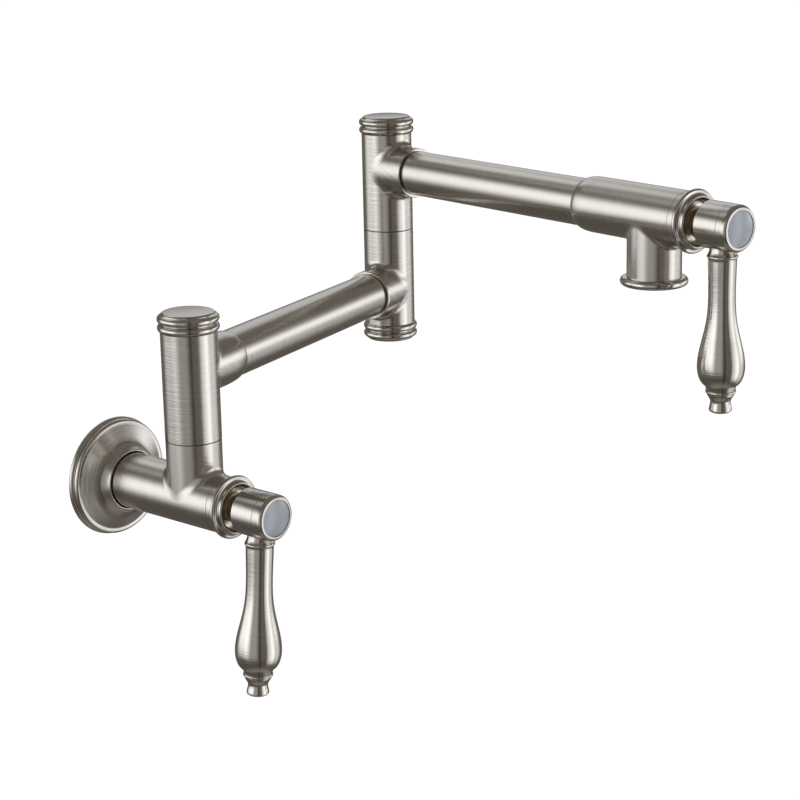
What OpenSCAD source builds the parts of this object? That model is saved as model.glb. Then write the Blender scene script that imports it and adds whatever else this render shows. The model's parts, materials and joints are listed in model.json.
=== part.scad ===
// Wall mounted pot filler with two swinging arms and a quarter-turn lever valve at each end.
// The wall is the plane Y = 0 and the object reaches out along -Y, with +Z up and +X to the right.
// The origin is where the valve axis meets the wall. All sizes are in millimetres.

/* [Reach and heights] */
// Distance from the wall to the axis of the first swivel
wall_to_swivel = 62.5; // [58:0.5:90]
// Distance between the two vertical axes of each arm
arm_reach = 210.7; // [150:1:300]
// Height of the first swivel's seam above the valve axis
riser_h = 31.2; // [30:0.1:45]
// Height of an arm's axis above or below the nearest seam
knuckle_h = 34.9; // [34:0.1:50]
// Height from an arm's axis to the edge of the nearest cap
cap_rise = 20.5; // [20:0.1:30]

/* [Pose] */
// Bearing of the first arm from the line of the wall, in degrees
arm_1_bearing = 12.7; // [-180:0.1:20]
// Bearing of the second arm from the line of the wall, in degrees
arm_2_bearing = -99.7; // [-180:0.1:180]
// Lean of the first lever from hanging straight down, in degrees
wall_lever_lean = -4; // [-10:0.5:90]
// Lean of the outlet's lever from hanging straight down, in degrees
outlet_lever_lean = 0.5; // [-10:0.5:90]

/* [Valve bodies] */
// Outer radius of both valve bodies
body_r = 14.5; // [14.3:0.1:15]
// Outer radius of the riser under the first swivel
riser_r = 14.2; // [13:0.1:14.4]
// Distance from a valve's vertical axis to the open end of its body
body_end = 25.5; // [24:0.1:32]
// Radius of the threaded inlet, for a half inch pipe
inlet_r = 9.3; // [8:0.1:10.5]
// Depth of the threaded inlet
inlet_depth = 18; // [12:0.5:24]
// Radius of the plain waterways
way_r = 5.5; // [4:0.1:6]
// Distance from the outlet's vertical axis back to the start of its cone
outlet_back = 47; // [40:0.5:60]
// Length of the cone where the outlet's body grows out of the arm
outlet_cone = 8; // [4:0.5:12]

/* [Swivels] */
// Outer radius of the swivel barrel and the knuckles
barrel_r = 14.3; // [14:0.1:15.2]
// Radius of the posts that the swivels turn on
post_r = 9; // [8.6:0.1:9.6]
// Radius of the recess behind each cap, which holds the nut
nut_room_r = 12; // [11.6:0.1:12.6]
// Radial running clearance of everything that turns
run_gap = 0.06; // [0.02:0.01:0.1]
// Thickness of the washer in each seam
washer_t = 0.6; // [0.4:0.1:1.2]

/* [Arms] */
// Outer radius of the arm tubes
tube_r = 12.4; // [11:0.1:12.8]
// Wall of the arm tubes
tube_wall = 1.2; // [0.8:0.1:2]
// Length of tube that sits inside each socket
tube_grip = 11; // [6:0.5:12]
// Radius of the socket bosses on the knuckles
boss_r = 14; // [13.8:0.1:14.2]
// Wall of the rounded boss where it takes the first tube
nose_wall = 1.6; // [1.2:0.1:2.2]
// Wall of the outlet's body where it takes the second tube
outlet_wall = 2.1; // [1.6:0.1:3]
// Distance from the elbow's axis to the mouth of a socket boss
boss_reach = 27; // [26:0.5:34]
// Distance from the first swivel's axis to the end of its rounded boss
nose_reach = 33; // [30:0.5:40]

/* [Caps and trim] */
// Height of an end cap, from its edge to its flat face
cap_h = 9.8; // [9.8:0.1:14]
// Outer radius of the two beads round an end cap
cap_bead_r = 15.6; // [15.4:0.1:18]
// Outer radius of the wall flange
flange_r = 31.2; // [30:0.1:45]
// Depth of the wall flange, from the wall to its lip
flange_depth = 15.3; // [14:0.1:20]
// Outer radius of the ring at the end of each valve body
bonnet_r = 16.15; // [15.6:0.05:20]

/* [Handles] */
// Distance from a valve's vertical axis to the back of its hub
hub_start = 33; // [32.2:0.1:36]
// Length of a lever hub
hub_len = 23.4; // [22:0.1:30]
// Outer radius of a lever hub
hub_r = 11.8; // [11:0.1:14]
// Radius of the round index button
index_r = 9.2; // [7:0.1:9.5]
// Distance from the hub's axis to the tip of the lever
lever_len = 94.1; // [80:0.1:130]
// Radius of the lever where it swells most
bulb_r = 11.8; // [9:0.1:14]

/* [Spout] */
// Outer radius of the downward spout
spout_r = 13.9; // [13.4:0.1:14.2]
// Distance from the outlet's valve axis down to the mouth of the spout
spout_drop = 35.8; // [34:0.1:37]
// Outer radius of the rolled lip at the mouth
lip_r = 17.2; // [16:0.1:20]

/* [Hidden] */

$fn = 96;
nickel = [0.66, 0.64, 0.61];
brass = [0.78, 0.62, 0.34];
rubber = [0.12, 0.12, 0.12];
ceramic = [0.9, 0.89, 0.86];
nylon = [0.2, 0.2, 0.2];
steel = [0.6, 0.6, 0.62];
enamel = [0.5, 0.56, 0.62];
plastic = [0.85, 0.86, 0.86];

// Every cut runs past its faces by this much
over = 1;
// Gap round a piece that sits in another and doesn't turn there
seat_gap = 0.1;
// Gap between flat faces that slide past each other
face_gap = 0.1;

// Heights of the seams, the arms and the caps
seam_1 = riser_h;
arm_1_z = seam_1 + knuckle_h;
seam_2 = arm_1_z + knuckle_h;
arm_2_z = seam_2 + knuckle_h;
seam_to_cap = knuckle_h + cap_rise;

// Valve chamber, measured along the valve axis from the vertical axis
seat_back = 11;
chamber_r = 9.6;
chamber_end = 12;
thread_r = 11;
land_start = 21.2;
land_step = 0.15;

// Cartridge, discs and stem
shell_gap = 0.25;
shell_lift = 0.4;
collar_step = 0.2;
collar_sink = 0.1;
disc_room_r = 7.5;
disc_room_end = 4;
window_r = 3;
window_z = 0.2;
neck_r = 7.4;
neck_gap = 0.6;
disc_r = 7.3;
seal_t = 2.4;
seal_hole_r = 4.5;
disc_t = 3;
port_r = 2.2;
port_offset = 3.9;
tongue_w = 2;
tongue_h = 1.2;
foot_r = 7.2;
foot_t = 2;
stem_r = 4;
spline_r = 3.6;
fixed_disc_z = seal_t - seat_back;
moving_disc_z = fixed_disc_z + disc_t + face_gap;
foot_z = moving_disc_z + disc_t;

// Handle screw and the room for its head
screw_r = 1.9;
screw_len = 10;
head_r = 4.2;
head_t = 3;
head_room_r = 4.6;
hub_bore_depth = 11.3;
shoulder_t = 2;
shoulder_z = hub_start + hub_bore_depth;
head_seat_z = shoulder_z + shoulder_t;
stem_end = shoulder_z - seat_gap;

// Hub outline, from its back collar to its rounded front
collar_r = 10.3;
collar_back_r = 9.2;
collar_len = 2.6;
hub_step = 0.35;
hub_back_round = 0.5;
hub_front_round = 2.6;
rim_w = 0.75;
groove_at = 17.1;
groove_w = 0.3;
groove_d = 0.15;
index_t = 1.9;
index_sink = 0.25;
index_crown = 1.3;

// Lever outline, measured down from the hub's axis, with its stations as shares of the lever's length
lever_at = 12;
stud_r = 3;
stud_top = 5.6;
lever_root_r = 6.4;
lever_root_sink = 2.6;
stud_room = 0.4;
lever_bead_r = 7.65;
lever_bead_half = 0.9;
lever_neck_r = 7;
lever_waist_r = 6.7;
lever_foot_r = 7.6;
lever_foot_half = 0.9;
lever_tail_top_r = 6.8;
lever_tail_r = 5.05;
lever_tip_r = 5.7;
bead_share = 0.157;
neck_share = 0.171;
waist_share = 0.343;
bulb_share = 0.746;
bulb_foot_share = 0.849;
foot_share = 0.879;
tail_share = 0.936;
tip_share = 0.98;
lever_steps = 14;
bulb_power = 1.4;

// Post outline, measured up from its seam
post_base = 14;
post_port_r = 3.2;
groove_floor = 1.8;
port_groove_half = 5;
ring_w = 2;
ring_below = 14;
ring_above = 6.6;
low_ring_z = knuckle_h - ring_below;
high_ring_z = knuckle_h + ring_above;
nut_room_h = 10.4;
shelf_z = seam_to_cap - nut_room_h;
thrust_t = 1;
thrust_gap = 0.1;
thread_step = 1;
nut_r = 10.8;
nut_t = 4;
post_top_gap = 3.9;
post_top_z = seam_to_cap - post_top_gap;

// Cap outline, measured out from its edge
spigot_len = 3;
spigot_wall = 1.5;
cap_core_r = 13.9;
cap_shadow_r = 13.5;
cap_shadow_h = 0.5;
bead_half = 2.05;
bead_pitch = 4.45;
bead_reach = 2.05;
cap_disc_r = 13.6;
cap_round = 1.3;

// Socket bosses and the rounded boss of the swivel
mouth_gap = 0.5;
mouth_depth = 1.2;
boss_chamfer = 0.5;
nose_step = 0.3;
nose_r = barrel_r - nose_step;
nose_round = 11;
nose_edge = 0.4;
nose_steps = 10;

// Washers in the seams and under the nuts
washer_sink = 0.5;
slip_gap = 0.05;

// Flange outline, measured out from the wall
flange_bead_r = 1.6;
flange_bead_pitch = 3.2;
flange_bead_step = 0.8;
flange_gap = 0.5;
flange_sheet = 2;
lip_round = 0.5;
dish_r_share = 0.45;
dish_h_share = 0.27;
dish_steps = 20;
cone_share = 0.6;
flare_power = 8;
ring_seat_z = 8;
o_ring_half = 1.1;
gasket_w = 1.8;
gasket_t = 1.2;
shelf_r = flange_r - flange_bead_step - flange_bead_r;
shelf_h = 2 * flange_bead_r + flange_bead_pitch;
lip_in_r = body_r + flange_gap;
lip_out_r = lip_in_r + 2 * lip_round;
dish_edge_r = shelf_r - flange_bead_r / 2;
dish_edge_h = shelf_h - flange_bead_step / 2;
dish_r = lip_out_r + (shelf_r - lip_out_r) * dish_r_share;
dish_h = shelf_h + (flange_depth - shelf_h) * dish_h_share;
gasket_r = shelf_r - gasket_w / 2;

// Bonnet ring outline, measured out from the end of the body
bonnet_bead = 1.15;
bonnet_bore_gap = 0.2;
bonnet_waist_r = 13.4;
bonnet_waist_z = 3.3;
bonnet_ridge = 0.75;
bonnet_bowl_r = 9.4;
bonnet_bowl_z = 2.6;
bonnet_h = 5.2;
bonnet_steps = 8;

// Spout mouth and aerator
spout_room_r = 11.2;
spout_room_h = 16;
lip_half = 2.2;
sleeve_wall = 1.1;
sleeve_h = 12;
insert_sink = 1.5;
insert_t = 7;
insert_hole_r = 1;
screen_t = 0.8;
screen_hole_r = 0.7;
hole_rings = 3;
holes_per_ring = 6;

// Points of an arc round a centre, from angle a to angle b
function arc(cx, cy, rx, ry, a, b, steps) = [
  for (i = [0:steps]) let (t = a + (b - a) * i / steps) [cx + rx * cos(t), cy + ry * sin(t)]
];

// Points of a smooth S from p to q, level in radius at both ends. A power over 1 makes it swell late.
function swell(p, q, steps, power = 1) = [
  for (i = [0:steps]) let (t = i / steps)
    [p[0] + (q[0] - p[0]) * (1 - cos(180 * pow(t, power))) / 2, p[1] + (q[1] - p[1]) * t]
];

// Rise of the flange's dish, as a share, from its edge at t 0 up a shallow cone to the flare at t 1
function dish_rise(t) = cone_share * t + (1 - cone_share) * pow(t, flare_power);

module rod(r, z0, z1) {
  translate([0, 0, z0]) cylinder(h = z1 - z0, r = r);
}

module ring(r_out, r_in, z0, z1) {
  difference() {
    rod(r_out, z0, z1);
    rod(r_in, z0 - over, z1 + over);
  }
}

module turned(points) {
  rotate_extrude() polygon(points);
}

// Frames: the wall frame has its z out of the wall and its y up. Each arm's frame has its x along the arm.
module wall_frame() {
  rotate([90, 0, 0]) children();
}

module wall_valve_frame() {
  wall_frame() translate([0, 0, wall_to_swivel]) children();
}

module swivel_frame() {
  translate([0, -wall_to_swivel, 0]) rotate([0, 0, arm_1_bearing]) children();
}

module elbow_place() {
  swivel_frame() translate([arm_reach, 0, 0]) rotate([0, 0, -arm_1_bearing]) children();
}

module lower_elbow_frame() {
  elbow_place() rotate([0, 0, arm_1_bearing + 180]) translate([0, 0, seam_2]) mirror([0, 0, 1]) children();
}

module upper_elbow_frame() {
  elbow_place() rotate([0, 0, arm_2_bearing]) translate([0, 0, seam_2]) children();
}

module outlet_frame() {
  elbow_place() rotate([0, 0, arm_2_bearing]) translate([arm_reach, 0, arm_2_z]) children();
}

module outlet_valve_frame() {
  outlet_frame() rotate([90, 0, 90]) children();
}

// Along the arm, from a vertical axis in a frame whose x runs along it
module along_arm(height) {
  translate([0, 0, height]) rotate([0, 90, 0]) children();
}

// Valve pieces, in a frame whose z is the valve axis and whose y points up
module valve_chamber() {
  rod(chamber_r, -seat_back, chamber_end);
  rod(thread_r, chamber_end, body_end + over);
  rod(chamber_r, chamber_end - over, chamber_end + over);
}

module body_outside(back) {
  rod(body_r, -back, land_start);
  rod(body_r - land_step, land_start - over, body_end);
}

module cartridge() {
  color(brass) difference() {
    union() {
      rod(chamber_r - shell_gap, shell_lift - seat_back, body_end - over);
      rod(thread_r - seat_gap, chamber_end + collar_step, body_end - collar_sink);
      rod(neck_r, body_end - over, hub_start - neck_gap);
    }
    rod(disc_room_r, -seat_back - over, disc_room_end);
    rod(stem_r + run_gap, disc_room_end - over, hub_start + over);
    for (side = [0, 180])
      rotate([90, 0, side]) translate([0, window_z, 0]) cylinder(h = chamber_r, r = window_r);
  }
}

module seat_seal() {
  color(rubber) ring(disc_r, seal_hole_r, -seat_back, fixed_disc_z);
}

module disc_ports(turn) {
  for (side = [0, 180])
    rotate([0, 0, turn + side]) translate([port_offset, 0, -seat_back - over])
      cylinder(h = seat_back + 2 * over, r = port_r);
}

module fixed_disc() {
  color(ceramic) difference() {
    rod(disc_r, fixed_disc_z, fixed_disc_z + disc_t);
    disc_ports(0);
  }
}

module tongue(grow) {
  translate([-disc_room_r, -tongue_w / 2 - grow, foot_z - tongue_h - grow])
    cube([2 * disc_room_r, tongue_w + 2 * grow, tongue_h + 2 * grow]);
}

module moving_disc() {
  color(ceramic) difference() {
    rod(disc_r, moving_disc_z, moving_disc_z + disc_t);
    disc_ports(90);
    tongue(seat_gap);
  }
}

module stem() {
  color(brass) difference() {
    union() {
      rod(foot_r, foot_z, foot_z + foot_t);
      rod(stem_r, foot_z + foot_t - over, hub_start - neck_gap);
      rod(spline_r, hub_start - over, stem_end);
      intersection() {
        tongue(0);
        rod(foot_r, foot_z - tongue_h, foot_z + over);
      }
    }
    rod(screw_r + seat_gap, head_seat_z - screw_len - over, stem_end + over);
  }
}

module bonnet_ring() {
  color(nickel) translate([0, 0, body_end]) turned(concat(
    [[neck_r + bonnet_bore_gap, 0], [bonnet_r - bonnet_bead, 0]],
    arc(bonnet_r - bonnet_bead, bonnet_bead, bonnet_bead, bonnet_bead, -90, 90, bonnet_steps),
    arc(bonnet_r - bonnet_bead, bonnet_waist_z, bonnet_r - bonnet_bead - bonnet_waist_r,
      bonnet_waist_z - 2 * bonnet_bead, 270, 180, bonnet_steps),
    arc(bonnet_waist_r - bonnet_ridge, bonnet_h - bonnet_ridge, bonnet_ridge, bonnet_ridge, 0, 180,
      bonnet_steps),
    [[bonnet_bowl_r, bonnet_bowl_z], [neck_r + bonnet_bore_gap, bonnet_bowl_z]]
  ));
}

module hub() {
  front = hub_start + hub_len;
  color(nickel) difference() {
    turned(concat(
      [[0, hub_start], [collar_back_r, hub_start]],
      arc(collar_back_r, hub_start + collar_len, collar_r - collar_back_r, collar_len, -90, 0, nose_steps),
      [[collar_r, hub_start + collar_len], [collar_r, hub_start + collar_len + hub_step]],
      arc(hub_r - hub_back_round, hub_start + collar_len + hub_step + hub_back_round,
        hub_back_round, hub_back_round, -90, 0, nose_steps),
      [
        [hub_r, hub_start + groove_at],
        [hub_r - groove_d, hub_start + groove_at + groove_w / 2],
        [hub_r, hub_start + groove_at + groove_w]
      ],
      arc(index_r + rim_w, front - hub_front_round, hub_r - index_r - rim_w, hub_front_round, 0, 90,
        nose_steps),
      [[0, front]]
    ));
    rod(spline_r + seat_gap, hub_start - over, shoulder_z);
    rod(screw_r + seat_gap, shoulder_z - over, head_seat_z + over);
    rod(head_room_r, head_seat_z, front);
    rod(index_r + seat_gap, front - index_sink - index_t, front + over);
    translate([0, 0, hub_start + lever_at]) rotate([90, 0, 0])
      rod(stud_r + seat_gap, stud_top - stud_room, hub_r + over);
  }
}

module index_button() {
  back = hub_start + hub_len - index_sink - index_t;
  rim = back + index_t;
  dome_r = (index_r * index_r + index_crown * index_crown) / (2 * index_crown);
  color(enamel) {
    rod(index_r, back + seat_gap, rim);
    translate([0, 0, rim + index_crown - dome_r]) rotate_extrude() intersection() {
      circle(r = dome_r, $fn = 720);
      translate([0, dome_r - index_crown - seat_gap]) square([index_r, index_crown + over]);
    }
  }
}

module handle_screw() {
  color(steel) difference() {
    union() {
      rod(screw_r, head_seat_z - screw_len, head_seat_z + over);
      rod(head_r, head_seat_z, head_seat_z + head_t);
    }
    translate([0, 0, head_seat_z + head_t / 2]) cylinder(h = head_t, r = screw_r, $fn = 6);
  }
}

// The lever's top is hollowed to sit round the hub
module lever() {
  bead = bead_share * lever_len;
  neck = neck_share * lever_len;
  waist = waist_share * lever_len;
  bulb = bulb_share * lever_len;
  foot = foot_share * lever_len;
  tail = tail_share * lever_len;
  tip = tip_share * lever_len;
  color(nickel) {
    translate([0, 0, hub_start + lever_at]) rotate([90, 0, 0]) rod(stud_r, stud_top, bead);
    difference() {
      translate([0, 0, hub_start + lever_at]) rotate([90, 0, 0]) turned(concat(
        [[0, hub_r - lever_root_sink], [lever_root_r, hub_r - lever_root_sink], [lever_root_r, hub_r]],
        arc(lever_bead_r - lever_bead_half, bead, lever_bead_half, lever_bead_half, -50, 60, lever_steps),
        swell([lever_neck_r, neck], [lever_waist_r, waist], lever_steps),
        swell([lever_waist_r, waist], [bulb_r, bulb], lever_steps, bulb_power),
        arc(lever_foot_r - lever_foot_half, bulb, bulb_r - lever_foot_r + lever_foot_half,
          (bulb_foot_share - bulb_share) * lever_len, 5, 78, lever_steps),
        arc(lever_foot_r - lever_foot_half, foot, lever_foot_half, lever_foot_half, -60, 70, lever_steps),
        swell([lever_tail_top_r, foot + lever_foot_half], [lever_tail_r, tail], lever_steps),
        swell([lever_tail_r, tail], [lever_tip_r, tip], lever_steps),
        arc(0, tip, lever_tip_r, lever_len - tip, 5, 90, lever_steps)
      ));
      rod(hub_r + seat_gap, hub_start - over, hub_start + hub_len + over);
    }
  }
}

// Swivel pieces, in a frame whose z is the swivel axis, counted up from the seam
module post() {
  color(brass) difference() {
    union() {
      rod(post_r, -post_base, shelf_z + thrust_t + thrust_gap);
      rod(post_r - thread_step, shelf_z, post_top_z);
    }
    rod(way_r, -post_base - over, knuckle_h + port_groove_half);
    for (turn = [0, 90])
      rotate([0, 0, turn]) translate([-post_r, 0, knuckle_h]) rotate([0, 90, 0])
        cylinder(h = 2 * post_r, r = post_port_r);
    ring(post_r + over, post_r - groove_floor, knuckle_h - port_groove_half, knuckle_h + port_groove_half);
    for (z = [low_ring_z, high_ring_z])
      ring(post_r + over, post_r - groove_floor, z, z + ring_w);
  }
}

module o_rings() {
  color(rubber) for (z = [low_ring_z, high_ring_z])
    translate([0, 0, z + ring_w / 2]) rotate_extrude()
      translate([post_r - groove_floor / 2, 0]) circle(r = (groove_floor - run_gap) / 2, $fn = 24);
}

module washer() {
  color(nylon) ring(barrel_r - washer_sink, post_r + run_gap, -washer_t / 2, washer_t / 2 - slip_gap);
}

module thrust_ring() {
  color(plastic) ring(nut_room_r - seat_gap, post_r + run_gap, shelf_z + slip_gap, shelf_z + thrust_t);
}

module nut() {
  bottom = shelf_z + thrust_t + thrust_gap;
  color(steel) difference() {
    translate([0, 0, bottom]) cylinder(h = nut_t, r = nut_r, $fn = 6);
    rod(post_r - thread_step + seat_gap, bottom - over, bottom + nut_t + over);
  }
}

module boss() {
  turned([
    [0, 0],
    [boss_r, 0],
    [boss_r, boss_reach - boss_chamfer],
    [boss_r - boss_chamfer, boss_reach],
    [0, boss_reach]
  ]);
}

// The rounded boss grows from its root to a socket that follows the tube
module nose() {
  root = nose_reach - max(tube_grip, nose_round) - nose_wall;
  rod(nose_r, 0, root + over);
  turned(concat(
    [[0, root], [tube_r + nose_wall, root]],
    arc(tube_r + nose_edge, nose_reach - nose_round, nose_wall - nose_edge, nose_round, 0, 90, nose_steps),
    [[0, nose_reach]]
  ));
}

module tube_socket(mouth) {
  rod(tube_r + seat_gap, mouth - tube_grip, mouth + over);
}

// A knuckle, seam down: the arm's boss points along x
module knuckle_outside() {
  rod(barrel_r, washer_t / 2, seam_to_cap);
  along_arm(knuckle_h) boss();
}

module knuckle_socket() {
  along_arm(knuckle_h) {
    tube_socket(boss_reach);
    rod(tube_r + mouth_gap, boss_reach - mouth_depth, boss_reach + over);
    rod(way_r, 0, boss_reach);
  }
}

module turning_bore() {
  rod(post_r + run_gap, -over, shelf_z + over);
  rod(nut_room_r, shelf_z, seam_to_cap + over);
}

module cap() {
  color(nickel) {
    ring(nut_room_r - seat_gap, nut_room_r - seat_gap - spigot_wall, -spigot_len, over);
    rotate_extrude() union() {
      square([cap_shadow_r, cap_h - cap_round]);
      translate([0, cap_shadow_h]) square([cap_core_r, cap_h - cap_round - cap_shadow_h - bead_reach / 2]);
      square([cap_disc_r - cap_round, cap_h]);
      translate([cap_disc_r - cap_round, cap_h - cap_round]) circle(r = cap_round);
      for (z = [bead_half, bead_half + bead_pitch])
        translate([cap_bead_r - bead_reach, z]) circle(r = bead_reach);
    }
  }
}

// Fixed to the wall
module wall_flange() {
  color(nickel) wall_frame() rotate_extrude() difference() {
    union() {
      polygon(concat(
        [[lip_in_r, 0], [flange_r - flange_bead_r, 0], [shelf_r, dish_edge_h]],
        [
          for (i = [0:dish_steps]) let (t = i / dish_steps) [
            dish_edge_r + (lip_out_r - dish_edge_r) * t,
            dish_edge_h + (flange_depth - lip_round - dish_edge_h) * dish_rise(t)
          ]
        ],
        arc(lip_in_r + lip_round, flange_depth - lip_round, lip_round, lip_round, 10, 180, nose_steps)
      ));
      translate([flange_r - flange_bead_r, flange_bead_r]) circle(r = flange_bead_r);
      translate([shelf_r, flange_bead_r + flange_bead_pitch]) circle(r = flange_bead_r);
    }
    polygon([
      [lip_out_r + flange_sheet, -over],
      [gasket_r - gasket_w / 2 - flange_sheet / 2, -over],
      [gasket_r - gasket_w / 2 - flange_sheet / 2, shelf_h - flange_sheet],
      [dish_r, dish_h - flange_sheet],
      [lip_out_r + flange_sheet, dish_h - flange_sheet]
    ]);
    translate([0, ring_seat_z - o_ring_half]) square([body_r + 2 * o_ring_half + seat_gap, 2 * o_ring_half]);
    translate([gasket_r - gasket_w / 2, -over]) square([gasket_w, gasket_t + over]);
  }
}

module flange_gasket() {
  color(rubber) wall_frame()
    ring(gasket_r + gasket_w / 2 - seat_gap, gasket_r - gasket_w / 2 + seat_gap, 0, gasket_t - seat_gap);
}

module flange_o_ring() {
  color(rubber) wall_frame() translate([0, 0, ring_seat_z]) rotate_extrude()
    translate([body_r + o_ring_half, 0]) circle(r = o_ring_half - seat_gap / 2, $fn = 24);
}

module valve_body() {
  color(nickel) difference() {
    union() {
      wall_valve_frame() body_outside(wall_to_swivel);
      swivel_frame() rod(riser_r, 0, seam_1 - washer_t / 2);
    }
    wall_frame() rod(inlet_r, -over, inlet_depth);
    wall_frame() rod(way_r, 0, wall_to_swivel);
    wall_valve_frame() valve_chamber();
    swivel_frame() rod(way_r, 0, seam_1);
    swivel_frame() rod(post_r + run_gap, seam_1 - post_base, seam_1 + over);
  }
}

module wall_cartridge() {
  wall_valve_frame() cartridge();
}

module wall_seat_seal() {
  wall_valve_frame() seat_seal();
}

module wall_fixed_disc() {
  wall_valve_frame() fixed_disc();
}

module wall_bonnet_ring() {
  wall_valve_frame() bonnet_ring();
}

module swivel_washer() {
  swivel_frame() translate([0, 0, seam_1]) washer();
}

module swivel_post() {
  swivel_frame() translate([0, 0, seam_1]) post();
}

module swivel_o_rings() {
  swivel_frame() translate([0, 0, seam_1]) o_rings();
}

module swivel_thrust_ring() {
  swivel_frame() translate([0, 0, seam_1]) thrust_ring();
}

module swivel_nut() {
  swivel_frame() translate([0, 0, seam_1]) nut();
}

// The first handle
module wall_handle_frame() {
  wall_valve_frame() rotate([0, 0, wall_lever_lean]) children();
}

module wall_stem() {
  wall_handle_frame() stem();
}

module wall_moving_disc() {
  wall_handle_frame() moving_disc();
}

module wall_hub() {
  wall_handle_frame() hub();
}

module wall_lever() {
  wall_handle_frame() lever();
}

module wall_index_button() {
  wall_handle_frame() index_button();
}

module wall_handle_screw() {
  wall_handle_frame() handle_screw();
}

// The first arm
module swivel_barrel() {
  color(nickel) swivel_frame() translate([0, 0, seam_1]) difference() {
    union() {
      rod(barrel_r, washer_t / 2, seam_to_cap);
      along_arm(knuckle_h) nose();
    }
    turning_bore();
    along_arm(knuckle_h) tube_socket(nose_reach);
    along_arm(knuckle_h) rod(way_r, 0, nose_reach);
  }
}

module swivel_cap() {
  swivel_frame() translate([0, 0, seam_1 + seam_to_cap]) cap();
}

module arm_1_tube() {
  color(nickel) swivel_frame() along_arm(arm_1_z)
    ring(tube_r, tube_r - tube_wall, nose_reach - tube_grip, arm_reach - boss_reach + tube_grip);
}

module lower_knuckle() {
  color(nickel) lower_elbow_frame() difference() {
    knuckle_outside();
    knuckle_socket();
    rod(post_r + run_gap, -over, post_base);
    rod(way_r, 0, knuckle_h);
    rod(nut_room_r, seam_to_cap - spigot_len - over, seam_to_cap + over);
  }
}

module bottom_cap() {
  lower_elbow_frame() translate([0, 0, seam_to_cap]) cap();
}

module elbow_washer() {
  upper_elbow_frame() washer();
}

module elbow_post() {
  upper_elbow_frame() post();
}

module elbow_o_rings() {
  upper_elbow_frame() o_rings();
}

module elbow_thrust_ring() {
  upper_elbow_frame() thrust_ring();
}

module elbow_nut() {
  upper_elbow_frame() nut();
}

// The second arm and the outlet
module upper_knuckle() {
  color(nickel) upper_elbow_frame() difference() {
    knuckle_outside();
    knuckle_socket();
    turning_bore();
  }
}

module top_cap() {
  upper_elbow_frame() translate([0, 0, seam_to_cap]) cap();
}

module arm_2_tube() {
  color(nickel) upper_elbow_frame() along_arm(knuckle_h)
    ring(tube_r, tube_r - tube_wall, boss_reach - tube_grip, arm_reach - outlet_back + tube_grip);
}

module outlet_body() {
  cone_r = tube_r + nose_edge;
  socket_out_r = tube_r + outlet_wall;
  color(nickel) outlet_valve_frame() difference() {
    union() {
      turned(concat(
        [[0, -outlet_back]],
        arc(cone_r, outlet_cone - outlet_back, socket_out_r - cone_r, outlet_cone, -90, 0, nose_steps),
        [[socket_out_r, -seat_back], [0, -seat_back]]
      ));
      body_outside(seat_back + over);
      rotate([90, 0, 0]) rod(spout_r, 0, spout_drop - 2 * lip_half);
    }
    rod(tube_r + seat_gap, -outlet_back - over, tube_grip - outlet_back);
    rod(way_r, -outlet_back, 0);
    valve_chamber();
    rotate([90, 0, 0]) rod(way_r, 0, spout_drop);
    rotate([90, 0, 0]) rod(spout_room_r, spout_drop - spout_room_h, spout_drop);
  }
}

module outlet_cartridge() {
  outlet_valve_frame() rotate([0, 0, 180]) cartridge();
}

module outlet_seat_seal() {
  outlet_valve_frame() seat_seal();
}

module outlet_fixed_disc() {
  outlet_valve_frame() fixed_disc();
}

module outlet_bonnet_ring() {
  outlet_valve_frame() bonnet_ring();
}

// Height above the spout's mouth, along the spout
module spout_frame() {
  outlet_frame() translate([0, 0, -spout_drop]) children();
}

module spout_ring() {
  bore_r = spout_room_r - seat_gap - sleeve_wall;
  color(nickel) spout_frame() {
    ring(spout_room_r - seat_gap, bore_r, lip_half, sleeve_h);
    rotate_extrude() {
      translate([bore_r, 0]) square([lip_r - lip_half - bore_r, 2 * lip_half]);
      translate([lip_r - lip_half, lip_half]) circle(r = lip_half);
    }
  }
}

// Holes on rings round a middle hole, each ring with six more than the last
module sieve(r, hole_r, z0, z1) {
  difference() {
    rod(r, z0, z1);
    rod(hole_r, z0 - over, z1 + over);
    for (k = [1:hole_rings], i = [1:k * holes_per_ring])
      rotate([0, 0, 360 * i / (k * holes_per_ring)]) translate([k * r / (hole_rings + 1), 0, 0])
        rod(hole_r, z0 - over, z1 + over);
  }
}

module aerator_insert() {
  color(plastic) spout_frame()
    sieve(spout_room_r - sleeve_wall - 2 * seat_gap, insert_hole_r, insert_sink, insert_sink + insert_t);
}

module aerator_screen() {
  color(steel) spout_frame() sieve(spout_room_r - sleeve_wall - 2 * seat_gap, screen_hole_r,
    insert_sink + insert_t, insert_sink + insert_t + screen_t);
}

// The outlet's handle
module outlet_handle_frame() {
  outlet_valve_frame() rotate([0, 0, outlet_lever_lean]) children();
}

module outlet_stem() {
  outlet_handle_frame() stem();
}

module outlet_moving_disc() {
  outlet_handle_frame() moving_disc();
}

module outlet_hub() {
  outlet_handle_frame() hub();
}

module outlet_lever() {
  outlet_handle_frame() lever();
}

module outlet_index_button() {
  outlet_handle_frame() index_button();
}

module outlet_handle_screw() {
  outlet_handle_frame() handle_screw();
}

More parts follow.
